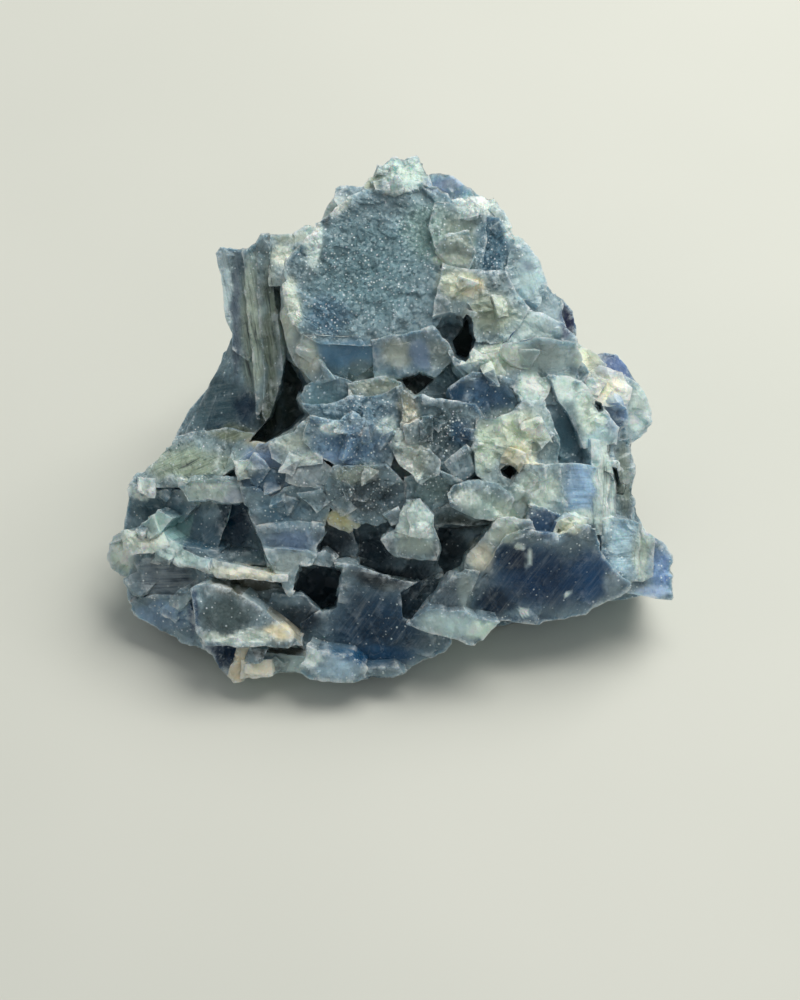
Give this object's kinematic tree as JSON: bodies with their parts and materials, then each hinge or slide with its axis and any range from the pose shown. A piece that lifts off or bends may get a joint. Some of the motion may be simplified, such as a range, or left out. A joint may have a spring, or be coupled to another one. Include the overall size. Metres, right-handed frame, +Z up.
{
  "type": "raw blue calcite",
  "caption": "Hand-sized rough lump of intergrown blue calcite with flat cleavage faces, a sugary crystal slab and a flat underside to stand on.",
  "frame": {"origin": "middle of the lump's bounds, on the ground under it", "axes": "+Z up, +X to the right and -Y towards the viewer who faces the sugary slab, with the longest way across along X"},
  "size_m": [0.0714, 0.0614, 0.0461],
  "materials": {
    "blue_calcite": "glassy cleavage faces between matt, sugary crystal grains"
  },
  "bodies": {
    "root": {"calcite": "blue_calcite"}
  },
  "joints": []
}
